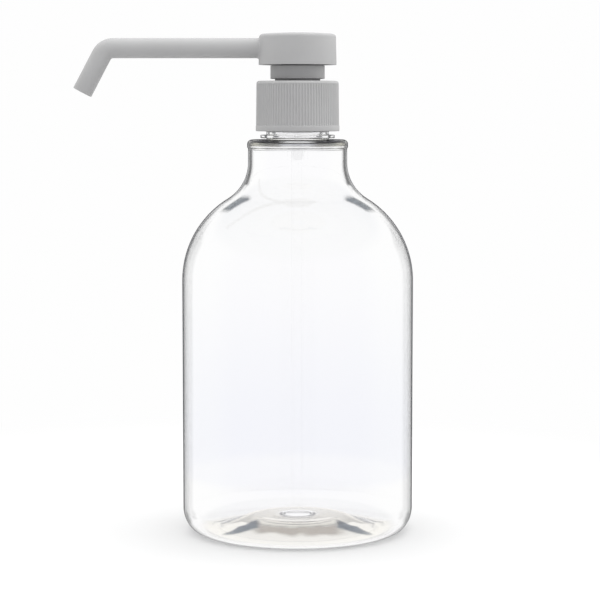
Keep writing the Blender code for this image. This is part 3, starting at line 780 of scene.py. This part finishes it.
def outer_outline():
    """From the lip over the thread, flange, bead, shoulder and heel to the base's centre."""
    bead_r = NECK_RADIUS + BEAD_STAND
    flange_z = NECK_TOP_Z + FLANGE_ABOVE_NECK
    flange_top = flange_z + FLANGE_THICKNESS
    below_rim = RIM_Z - RIM_DEPTH
    lip = [(FINISH_BORE, below_rim), (FINISH_BORE, RIM_Z), (FINISH_RADIUS, RIM_Z), (FINISH_RADIUS, below_rim)]
    threaded = stepped([lip[-1], (FINISH_RADIUS, flange_top + 1.0 * MM)], THREAD_ROW)
    flange = [
        threaded[-1],
        (FINISH_RADIUS, flange_top),
        (FLANGE_RADIUS, flange_top),
        (FLANGE_RADIUS, flange_z),
        (FINISH_RADIUS, flange_z),
        (FINISH_RADIUS, NECK_TOP_Z),
        (bead_r - BEAD_ROUND, NECK_TOP_Z),
    ]
    bead = arc(bead_r - BEAD_ROUND, NECK_TOP_Z - BEAD_ROUND, BEAD_ROUND, 90, 0, 10)
    bead_end = [
        bead[-1],
        (bead_r, BEAD_FOOT_Z + BEAD_STAND),
        (NECK_RADIUS, BEAD_FOOT_Z),
        (NECK_RADIUS, BEAD_FOOT_Z - 1.0 * MM),
    ]
    outer = rounded(lip, RIM_ROUND) + threaded[1:] + rounded(flange, FLANGE_ROUND, 3)[1:-1]
    outer += bead + rounded(bead_end, BEAD_FOOT_ROUND, 4)[1:]
    outer += shoulder_outline(0.0) + heel_outline(0.0)[1:]
    return outer + rounded(base_outline(), BASE_ROUND, 6)[1:]


def inner_outline():
    """From the base's centre up the inside of the wall to the bore of the finish."""
    inner = rounded(floor_outline(), BASE_ROUND, 6) + list(reversed(heel_outline(WALL)))[1:]
    inner += list(reversed(shoulder_outline(WALL)))[1:]
    lid = NECK_TOP_Z - 1.5 * WALL
    throat = [inner[-1], (NECK_RADIUS - WALL, lid), (FINISH_BORE, lid), (FINISH_BORE, RIM_Z - RIM_DEPTH)]
    return inner + rounded(throat, THROAT_ROUND, 6)[1:-1]


outer_skin = outer_outline()
bottle_mesh = turned_mesh(
    "bottle_fine",
    outer_skin + inner_outline(),
    BOTTLE_SEGMENTS,
    bottle_relief,
    outer_rows=len(outer_skin),
)
finished("clear_bottle_wall", bottle_mesh, bottle_clear, "bottle", ["bottle"])

# %% [markdown]
# ## Moulded plastic
#
# The pump is moulded in a matte grey. Under a lens the mould's fine texture scatters the light, so
# the finish has a faint grain in its bump and a little drift in its colour and roughness.

# %% Moulded plastics
CLOUDS_PER_METRE = 90.0
DRIFT = 0.02
GRAIN_STRENGTH = 0.35
GRAIN_ROUGHNESS = 0.10


def moulded(name, colour, roughness, grain_mm=0.12, grain_depth=0.004):
    """A matte plastic with a grain of this width and depth, both in millimetres."""
    material, tree, surface = new_material(name)
    place = node(tree, "ShaderNodeTexCoord", output=3)
    drifting = {"Vector": place, "Scale": CLOUDS_PER_METRE, "Detail": 2.0}
    cloud = node(tree, "ShaderNodeTexNoise", None, drifting)
    fine = {"Vector": place, "Scale": 1000.0 / grain_mm, "Detail": 2.0}
    grain = node(tree, "ShaderNodeTexNoise", None, fine)
    low = (*[c * (1 - DRIFT) for c in colour], 1.0)
    high = (*[min(1.0, c * (1 + DRIFT)) for c in colour], 1.0)
    relief = {"Strength": GRAIN_STRENGTH, "Distance": grain_depth * MM, "Height": grain}
    shader = node(
        tree,
        "ShaderNodeBsdfPrincipled",
        None,
        {
            "Base Color": colour_mix(tree, cloud.smooth(0.3, 0.7), low, high),
            "Roughness": roughness - GRAIN_ROUGHNESS / 2 + GRAIN_ROUGHNESS * grain,
            "Specular IOR Level": 0.35,
            "Normal": node(tree, "ShaderNodeBump", None, relief),
        },
    )
    plug(tree, surface, shader)
    return material


grey_plastic = moulded("grey_plastic", (0.40, 0.40, 0.40), 0.55)
white_plastic = moulded("white_plastic", (0.85, 0.85, 0.83), 0.45)
gasket_foam = moulded("gasket_foam", (0.80, 0.80, 0.78), 0.85, grain_mm=0.35, grain_depth=0.05)
print("moulded plastics ready")

# %% [markdown]
# ## The collar
#
# The collar is a plain turned cap under its grip, with a thread inside. Its ridge stands lower than
# a real one, so that it clears the bottle's thread at every angle of the turn.

# %% The collar's cap
COLLAR_TOP_RADIUS = 14.17 * MM
COLLAR_FOOT_RADIUS = 14.33 * MM
COLLAR_TOP_WALL = 1.1 * MM
COLLAR_ROUND = 0.9 * MM
COLLAR_BORE = 12.2 * MM
STUB_RADIUS = 7.8 * MM
BAND_HEIGHT = 1.9 * MM
BAND_STAND = 0.1 * MM
RIB_COUNT = 88
RIB_DEPTH = 0.22 * MM
COLLAR_THREAD_STAND = 0.42 * MM
COLLAR_SEGMENTS = 176
COLLAR_CEILING_Z = COLLAR_TOP_Z - COLLAR_TOP_WALL
COLLAR_THREAD_LOW, COLLAR_THREAD_HIGH = COLLAR_FOOT_Z + 0.8 * MM, COLLAR_CEILING_Z - 0.9 * MM


def collar_relief(turn, r, z):
    """The thread inside the bore, half a pitch under the bottle's."""
    if abs(r - COLLAR_BORE) > SAME_RADIUS or not COLLAR_THREAD_LOW < z < COLLAR_THREAD_HIGH:
        return 0.0
    return -thread_height(turn, z, THREAD_START_Z - THREAD_PITCH / 2, COLLAR_THREAD_STAND)


def make_collar_cap():
    root_top = COLLAR_TOP_RADIUS - RIB_DEPTH
    band_top = COLLAR_FOOT_Z + BAND_HEIGHT
    hole = STUB_RADIUS + GAP
    band_radius = COLLAR_FOOT_RADIUS + BAND_STAND
    round_z = COLLAR_TOP_Z - COLLAR_ROUND
    ribs_end = (root_top, COLLAR_TOP_Z - COLLAR_ROUND - 0.3 * MM)
    outer = [
        (COLLAR_BORE, COLLAR_FOOT_Z + 3.0 * MM),
        (COLLAR_BORE, COLLAR_FOOT_Z),
        (band_radius, COLLAR_FOOT_Z),
        (band_radius, band_top),
        (COLLAR_FOOT_RADIUS - RIB_DEPTH, band_top + 0.1 * MM),
        ribs_end,
    ]
    outer = rounded(outer, 0.25 * MM, 3)[:-1] + [ribs_end, (COLLAR_TOP_RADIUS, round_z)]
    outer += arc(COLLAR_TOP_RADIUS - COLLAR_ROUND, round_z, COLLAR_ROUND, 0, 90, 6)[1:]
    inner = [
        outer[-1],
        (hole, COLLAR_TOP_Z),
        (hole, COLLAR_CEILING_Z),
        (COLLAR_BORE, COLLAR_CEILING_Z),
        (COLLAR_BORE, COLLAR_CEILING_Z - 1.0 * MM),
    ]
    inner = rounded(inner, 0.2 * MM, 2)
    bore = stepped([inner[-1], outer[0]], 0.25 * MM)
    outline = outer + inner[1:] + bore[1:-1]
    mesh = turned_mesh("collar_fine", outline, COLLAR_SEGMENTS, collar_relief)
    finished("collar_cap", mesh, grey_plastic, "collar", ["collar"])


make_collar_cap()

# %% [markdown]
# ## Geometry Nodes as a maker of plain meshes
#
# What repeats comes from a Geometry Nodes tree with named inputs for its sizes. The modifier takes
# each size by its socket's identifier, runs once on an empty mesh, and leaves a plain mesh.

# %% Running a tree


def new_tree(name, sizes):
    """A tree with one named input for each size. Returns it with the inputs' sockets by name."""
    tree = bpy.data.node_groups.new(name, "GeometryNodeTree")
    tree.interface.new_socket("Geometry", in_out="OUTPUT", socket_type="NodeSocketGeometry")
    for size_name, value in sizes.items():
        kind = "NodeSocketInt" if isinstance(value, int) else "NodeSocketFloat"
        tree.interface.new_socket(size_name, in_out="INPUT", socket_type=kind)
    inputs = tree.nodes.new("NodeGroupInput")
    return tree, {size_name: Socket(tree, inputs.outputs[size_name]) for size_name in sizes}


def end_tree(tree, shape, offset, material):
    """Put a shape at its place, make its copies real, and give it its material."""
    placed = node(tree, "GeometryNodeTransform", None, {"Geometry": shape, "Translation": offset})
    real = node(tree, "GeometryNodeRealizeInstances", None, {"Geometry": placed})
    done = node(tree, "GeometryNodeSetMaterial", None, {"Geometry": real, "Material": material})
    end = tree.nodes.new("NodeGroupOutput")
    plug(tree, end.inputs[0], done)


def from_tree(name, tree, sizes):
    """Run a Geometry Nodes tree on an empty mesh and return its result as a plain mesh."""
    carrier = bpy.data.objects.new(name, bpy.data.meshes.new(name))
    bpy.context.scene.collection.objects.link(carrier)
    modifier = carrier.modifiers.new(name, "NODES")
    modifier.node_group = tree
    for socket in tree.interface.items_tree:
        if socket.in_out == "INPUT":
            modifier[socket.identifier] = sizes[socket.name]
    graph = bpy.context.evaluated_depsgraph_get()
    mesh = bpy.data.meshes.new_from_object(carrier.evaluated_get(graph))
    carrier.modifiers.remove(modifier)
    bpy.data.objects.remove(carrier)
    return mesh


print("tree helpers ready")

# %% [markdown]
# ## The grip
#
# The grip is one ridge repeated 88 times: a round profile swept up a leaning line, a point for each
# place, and a copy turned to its place round the collar.

# %% The grip's ridges, by Geometry Nodes
RIB_WIDTH_SHARE = 0.89
RIB_SIDES = 14
RIB_SIZES = {
    "Count": RIB_COUNT,
    "Foot Radius": COLLAR_FOOT_RADIUS,
    "Top Radius": COLLAR_TOP_RADIUS,
    "Foot Height": COLLAR_FOOT_Z + BAND_HEIGHT - 0.1 * MM,
    "Top Height": COLLAR_TOP_Z - COLLAR_ROUND + 0.02 * MM,
    "Ridge Radius": RIB_WIDTH_SHARE * math.pi * COLLAR_TOP_RADIUS / RIB_COUNT,
}


def rib_tree(material):
    """One ridge swept along a leaning line, and a copy of it at each place round the collar."""
    tree, size = new_tree("collar_ribs", RIB_SIZES)
    radius = size["Ridge Radius"]
    foot_x, top_x = size["Foot Radius"] - radius, size["Top Radius"] - radius
    foot = node(tree, "ShaderNodeCombineXYZ", None, {"X": foot_x, "Z": size["Foot Height"]})
    top = node(tree, "ShaderNodeCombineXYZ", None, {"X": top_x, "Z": size["Top Height"]})
    line = node(tree, "GeometryNodeCurvePrimitiveLine", None, {"Start": foot, "End": top})
    section = {"Resolution": RIB_SIDES, "Radius": radius}
    circle = node(tree, "GeometryNodeCurvePrimitiveCircle", None, section)
    sweep = {"Curve": line, "Profile Curve": circle, "Fill Caps": True}
    ridge = node(tree, "GeometryNodeCurveToMesh", None, sweep)
    points = node(tree, "GeometryNodePoints", None, {"Count": size["Count"]})
    turn = node(tree, "GeometryNodeInputIndex") * (2 * math.pi) / size["Count"]
    turned = node(tree, "ShaderNodeCombineXYZ", None, {"Z": turn})
    places = {"Points": points, "Instance": ridge, "Rotation": turned}
    copies = node(tree, "GeometryNodeInstanceOnPoints", None, places)
    end_tree(tree, copies, (AXIS_X, 0.0, 0.0), material)
    return tree


rib_mesh = from_tree("collar_ribs", rib_tree(grey_plastic), RIB_SIZES)
finished("collar_ribs", rib_mesh, grey_plastic, "collar", sharp=50.0)

# %% [markdown]
# ## Head and spout
#
# They are one moulding. The spout is a row of rings along a bent line. At its root the rings follow
# the head's round wall and swell by a small fillet.

# %% The spout's rings
HEAD_TOP_RADIUS = 13.2 * MM
HEAD_FOOT_RADIUS = 13.4 * MM
HEAD_WALL = 1.3 * MM
SPOUT_RADIUS = 3.45 * MM
SPOUT_RISE = 5.7 * MM
SPOUT_Z = HEAD_FOOT_Z + SPOUT_RISE
SPOUT_REACH = 66.1 * MM
SPOUT_DROP = 17.1 * MM
SPOUT_TURN = math.radians(62)
SPOUT_BEND = 4.5 * MM
SPOUT_EDGE = 0.2 * MM
SPOUT_ROOT_BELOW = 0.9 * MM
SPOUT_ROOT_ABOVE = 0.2 * MM
ROOT_LENGTH = 6.0 * MM
SPOUT_SIDES, ROOT_STEPS, BEND_STEPS = 48, 8, 20


def ring_at(x, z, turn, radius, wall_x=None):
    """One ring of the spout. With wall_x, its points lie at that distance outside the head's wall."""
    ring = []
    for k in range(SPOUT_SIDES):
        angle = 2 * math.pi * k / SPOUT_SIDES
        across, up = radius * math.sin(angle), radius * math.cos(angle)
        if wall_x is None:
            ring.append((AXIS_X + x - up * math.sin(turn), across, z + up * math.cos(turn)))
        else:
            wall = -math.sqrt(HEAD_TOP_RADIUS**2 - across**2)
            ring.append((AXIS_X + wall - wall_x, across, z + up))
    return ring


def root_rings(radius):
    """Rings of the fillet where the spout leaves the head's wall."""
    swell_share = (SPOUT_ROOT_BELOW + SPOUT_ROOT_ABOVE) / 2 / SPOUT_ROOT_BELOW
    sink_share = (SPOUT_ROOT_BELOW - SPOUT_ROOT_ABOVE) / 2 / SPOUT_ROOT_BELOW
    stations = [(-HEAD_WALL / 2, 0.0), (-HEAD_WALL / 4, SPOUT_ROOT_BELOW)]
    for i in range(ROOT_STEPS + 1):
        away = SPOUT_ROOT_BELOW * (1 - math.cos(math.pi / 2 * i / ROOT_STEPS)) if i else 0.0
        left = SPOUT_ROOT_BELOW - away
        stations.append((away, SPOUT_ROOT_BELOW - math.sqrt(SPOUT_ROOT_BELOW**2 - left**2)))
    rings = []
    for away, fillet in stations:
        z = SPOUT_Z - fillet * sink_share
        rings.append(ring_at(0.0, z, 0.0, radius + fillet * swell_share, away))
    return rings + [ring_at(-HEAD_FOOT_RADIUS - ROOT_LENGTH, SPOUT_Z, 0.0, radius)]


def spout_rings(radius, start_x, past, with_root):
    """Rings from inside the head, round the bend and down to the tip, or past it by a length."""
    tangent = SPOUT_BEND * math.tan(SPOUT_TURN / 2)
    bend_x = tangent - SPOUT_REACH
    rings = [ring_at(start_x, SPOUT_Z, 0.0, radius)]
    if with_root:
        rings += root_rings(radius)
    for i in range(BEND_STEPS + 1):
        turn = SPOUT_TURN * i / BEND_STEPS
        x = bend_x - SPOUT_BEND * math.sin(turn)
        z = SPOUT_Z - SPOUT_BEND * (1 - math.cos(turn))
        rings.append(ring_at(x, z, turn, radius))
    run = SPOUT_DROP - tangent + past
    for back, inset in ((SPOUT_EDGE, 0.0), (SPOUT_EDGE * 0.3, SPOUT_EDGE * 0.3), (0.0, SPOUT_EDGE)):
        along = run - back
        x_end = x - along * math.cos(SPOUT_TURN)
        z_end = z - along * math.sin(SPOUT_TURN)
        rings.append(ring_at(x_end, z_end, SPOUT_TURN, radius - (inset if with_root else 0.0)))
    return rings


print("the spout's root has", len(root_rings(SPOUT_RADIUS)), "rings")

# %% [markdown]
# ### Skinning and joining
#
# Rings become a closed skin, and a Boolean joins the spout to the head and cuts its bore, because
# the two meet along a line that no single profile follows.

# %% Skins and Booleans


def skinned(name, rings):
    """A closed mesh through a row of rings."""
    bm = bmesh.new()
    rows = [[bm.verts.new(point) for point in ring] for ring in rings]
    bm.faces.new(rows[0])
    bm.faces.new(list(reversed(rows[-1])))
    for low, high in zip(rows, rows[1:]):
        for i in range(len(low)):
            j = (i + 1) % len(low)
            bm.faces.new((low[i], low[j], high[j], high[i]))
    return closed_mesh(name, bm)


def combined(target_mesh, steps):
    """Apply Boolean steps, (operation, mesh), to a mesh and return the result."""
    target = bpy.data.objects.new("target", target_mesh)
    bpy.context.scene.collection.objects.link(target)
    tools = []
    for operation, mesh in steps:
        tool = bpy.data.objects.new("tool", mesh)
        bpy.context.scene.collection.objects.link(tool)
        modifier = target.modifiers.new(operation, "BOOLEAN")
        modifier.operation = operation
        modifier.object = tool
        tools.append(tool)
    graph = bpy.context.evaluated_depsgraph_get()
    mesh = bpy.data.meshes.new_from_object(target.evaluated_get(graph))
    for used in (target, *tools):
        bpy.data.objects.remove(used)
    return mesh


print("skin and Boolean helpers ready")

# %% [markdown]
# ### The head
#
# The head is turned: a low crown, a rounded shoulder, a thin outer wall, and a sleeve in the middle
# whose pocket holds the stem.

# %% The head
HEAD_ROUND = 1.2 * MM
HEAD_CROWN = 0.45 * MM
CROWN_EDGE_ANGLE = 78
SLEEVE_RADIUS = 5.9 * MM
STEM_HOLE = 4.45 * MM
POCKET_DEPTH = 7.75 * MM
OUTLET_BORE = 1.1 * MM
SPOUT_BORE = 1.9 * MM
BORE_START_X = 0.55 * MM
SPOUT_INTO_ROOF = 0.3 * MM
HEAD_SEGMENTS = 128


def head_outline():
    """The head's half section, from the crown's middle out, under the wall and into the sleeve."""
    flat = HEAD_TOP_RADIUS - HEAD_ROUND
    crown_radius = (flat**2 + HEAD_CROWN**2) / (2 * HEAD_CROWN)
    spread = math.degrees(math.asin(flat / crown_radius))
    outline = arc(0.0, HEAD_TOP_Z - crown_radius, crown_radius, 90, 90 - spread, 10)
    outline[0] = (0.0, HEAD_TOP_Z)
    round_z = HEAD_TOP_Z - HEAD_CROWN - HEAD_ROUND
    outline += arc(flat, round_z, HEAD_ROUND, CROWN_EDGE_ANGLE, 0, 8)
    ceiling = SPOUT_Z + SPOUT_RADIUS - SPOUT_INTO_ROOF
    inside = HEAD_FOOT_RADIUS - HEAD_WALL
    pocket_top = SLEEVE_FOOT_Z + POCKET_DEPTH
    corners = [
        outline[-1],
        (HEAD_FOOT_RADIUS, HEAD_FOOT_Z),
        (inside, HEAD_FOOT_Z),
        (inside, ceiling),
        (SLEEVE_RADIUS, ceiling),
        (SLEEVE_RADIUS, SLEEVE_FOOT_Z),
        (STEM_HOLE, SLEEVE_FOOT_Z),
        (STEM_HOLE, pocket_top),
        (OUTLET_BORE, pocket_top),
        (OUTLET_BORE, SPOUT_Z),
        (0.0, SPOUT_Z),
    ]
    return outline + rounded(corners, 0.12 * MM, 3)[1:]


def make_head():
    cap = turned_mesh("cap", head_outline(), HEAD_SEGMENTS, closed=False)
    in_sleeve_wall = -(SLEEVE_RADIUS + STEM_HOLE) / 2
    spout = skinned("spout", spout_rings(SPOUT_RADIUS, in_sleeve_wall, 0.0, True))
    bore = skinned("bore", spout_rings(SPOUT_BORE, BORE_START_X, SPOUT_BORE, False))
    mesh = combined(cap, [("UNION", spout), ("DIFFERENCE", bore)])
    finished("pump_head_moulding", mesh, grey_plastic, "head", ["pump_head"], sharp=30.0)


make_head()

# %% [markdown]
# ## Turret
#
# The turret closes the pump and holds the head's sleeve while the pump is locked. It is one turned
# ring, narrower where it passes through the collar.

# %% Turret
TURRET_RADIUS = 9.35 * MM
STUB_STAND = 0.7 * MM
STUB_BORE = 6.75 * MM
TURRET_SEGMENTS = 96


def make_turret():
    bore = SLEEVE_RADIUS + GAP
    step_z = COLLAR_TOP_Z + STUB_STAND
    shelf = SHELF_Z + SHELF_THICKNESS
    seam = (STUB_RADIUS, TURRET_FOOT_Z + 0.5 * MM)
    corners = [
        seam,
        (STUB_RADIUS, step_z),
        (TURRET_RADIUS, step_z),
        (TURRET_RADIUS, TURRET_TOP_Z),
        (bore, TURRET_TOP_Z),
        (bore, shelf),
        (STEM_HOLE, shelf),
        (STEM_HOLE, SHELF_Z),
        (STUB_BORE, SHELF_Z),
        (STUB_BORE, TURRET_FOOT_Z),
        (STUB_RADIUS, TURRET_FOOT_Z),
        seam,
    ]
    mesh = turned_mesh("turret_fine", rounded(corners, 0.25 * MM, 4)[:-1], TURRET_SEGMENTS)
    finished("turret_ring", mesh, grey_plastic, "pump_body", ["turret"])


make_turret()

# %% [markdown]
# ## Steel
#
# Drawn steel wire and the outlet's steel ball need no pattern at this size: a metal with a low
# roughness takes its look from the studio. The inlet's ball wears the clear plastic instead.

# %% Steel


def steel():
    material, tree, surface = new_material("spring_steel")
    looks = {"Base Color": (0.62, 0.62, 0.63, 1.0), "Metallic": 1.0, "Roughness": 0.28}
    plug(tree, surface, node(tree, "ShaderNodeBsdfPrincipled", None, looks))
    return material


spring_steel = steel()
print("steel ready")

# %% [markdown]
# ## Carried-over pieces
#
# The pieces inside the pump keep the frame's form. Each is a copy whose loose triangles are merged
# and whose flat faces are joined, so that smooth shading works on it.

# %% Inner pieces
MERGE_DISTANCE = 1e-6
INNER = (
    ("piston", "plunger", white_plastic, "white_plastic"),
    ("piston_rod", "plunger", white_plastic, "white_plastic"),
    ("stem", "plunger", white_plastic, "white_plastic"),
    ("ball_retainer", "pump_body", white_plastic, "white_plastic"),
    ("outlet_ball", "outlet_ball", spring_steel, "spring_steel"),
    ("inlet_ball", "inlet_ball", pump_clear, "spring_steel"),
    ("neck_gasket", "pump_body", gasket_foam, "gasket_foam"),
    ("pump_housing", "pump_body", pump_clear, "clear_pump"),
    ("dip_tube", "pump_body", pump_clear, "clear_pump"),
)


def smoothed_copy(name, body, material):
    """A merged copy of a frame node with its flat faces joined and smooth shading."""
    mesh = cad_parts[name].data.copy()
    bm = bmesh.new()
    bm.from_mesh(mesh)
    bmesh.ops.remove_doubles(bm, verts=bm.verts, dist=MERGE_DISTANCE)
    bmesh.ops.dissolve_limit(bm, angle_limit=math.radians(1), verts=bm.verts, edges=bm.edges)
    bm.to_mesh(mesh)
    bm.free()
    finished(name + "_fine", mesh, material, body, [name], sharp=35.0)


for node_name, body_name, finish, slot_name in INNER:
    smoothed_copy(node_name, body_name, finish)

# %% [markdown]
# ## Return spring
#
# A coil follows a rule, so Geometry Nodes draw it: a spiral curve with a round wire swept along it.
# It takes the place and size of the frame's spring, whose node it hides.

# %% The spring, by Geometry Nodes
SPRING_WIRE = 0.7 * MM
SPRING_COILS = 4
STEPS_PER_COIL, WIRE_SIDES = 40, 12
spring_low, spring_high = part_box("return_spring")
SPRING_SIZES = {
    "Coils": float(SPRING_COILS),
    "Coil Radius": (spring_high.y - spring_low.y - SPRING_WIRE) / 2,
    "Climb": spring_high.z - spring_low.z - SPRING_WIRE,
    "Wire Radius": SPRING_WIRE / 2,
}


def spring_tree(material):
    """A round wire swept along a spiral."""
    tree, size = new_tree("return_spring_coil", SPRING_SIZES)
    path = {
        "Resolution": STEPS_PER_COIL,
        "Rotations": size["Coils"],
        "Start Radius": size["Coil Radius"],
        "End Radius": size["Coil Radius"],
        "Height": size["Climb"],
    }
    spiral = node(tree, "GeometryNodeCurveSpiral", None, path)
    section = {"Resolution": WIRE_SIDES, "Radius": size["Wire Radius"]}
    wire = node(tree, "GeometryNodeCurvePrimitiveCircle", None, section)
    sweep = {"Curve": spiral, "Profile Curve": wire, "Fill Caps": True}
    swept = node(tree, "GeometryNodeCurveToMesh", None, sweep)
    end_tree(tree, swept, (AXIS_X, 0.0, spring_low.z + SPRING_WIRE / 2), material)
    return tree


coil_mesh = from_tree("spring_coil", spring_tree(spring_steel), SPRING_SIZES)
coil_mesh.materials.clear()
coil_mesh.materials.append(spring_steel)
coil_mesh.shade_smooth()
coil = bpy.data.objects.new("spring_coil", coil_mesh)
bpy.context.scene.collection.objects.link(coil)
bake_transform(coil)
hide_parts("return_spring")
print("spring_coil has", len(coil_mesh.polygons), "faces")
